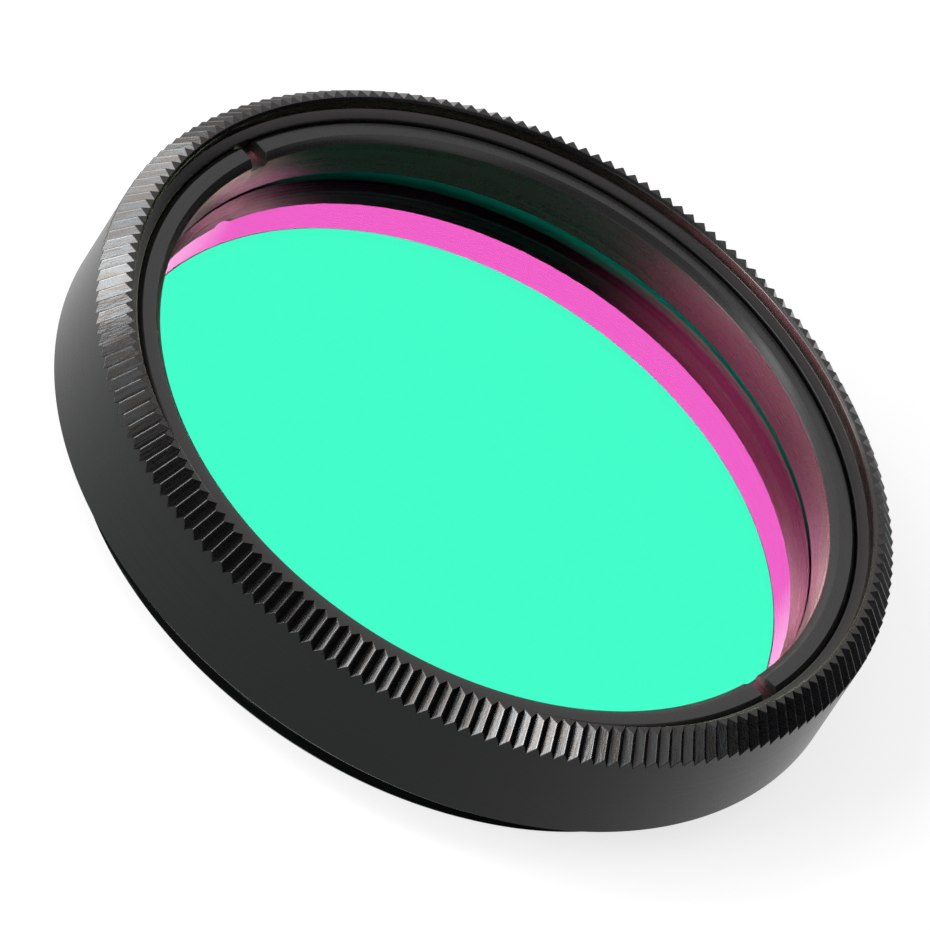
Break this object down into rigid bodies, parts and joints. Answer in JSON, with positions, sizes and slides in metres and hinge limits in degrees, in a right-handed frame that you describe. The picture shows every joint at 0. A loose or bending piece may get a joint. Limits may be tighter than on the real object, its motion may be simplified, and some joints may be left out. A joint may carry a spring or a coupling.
{
  "type": "uv-ir cut filter",
  "caption": "Round screw-in optical filter: a coated glass disc clamped by a slotted ring in a black metal cell with a knurled bevelled rim and a male thread at the rear.",
  "frame": {"origin": "centre of the cell's rear end face, on the optical axis", "axes": "+Z along the optical axis, from the threaded rear end to the knurled front rim; the ring's two slots lie on a line turned 20.4 degrees clockwise from X, seen from the front"},
  "size_m": [0.031, 0.031, 0.0065],
  "materials": {
    "black_anodised": "black anodised, satin",
    "coated_glass": "polished, with an interference coating that looks mint green in transmission and magenta in reflection",
    "black_anodised_ring": "black anodised, satin"
  },
  "bodies": {
    "root": {"cell": "black_anodised", "filter_glass": "coated_glass", "retaining_ring": "black_anodised_ring"}
  },
  "joints": []
}
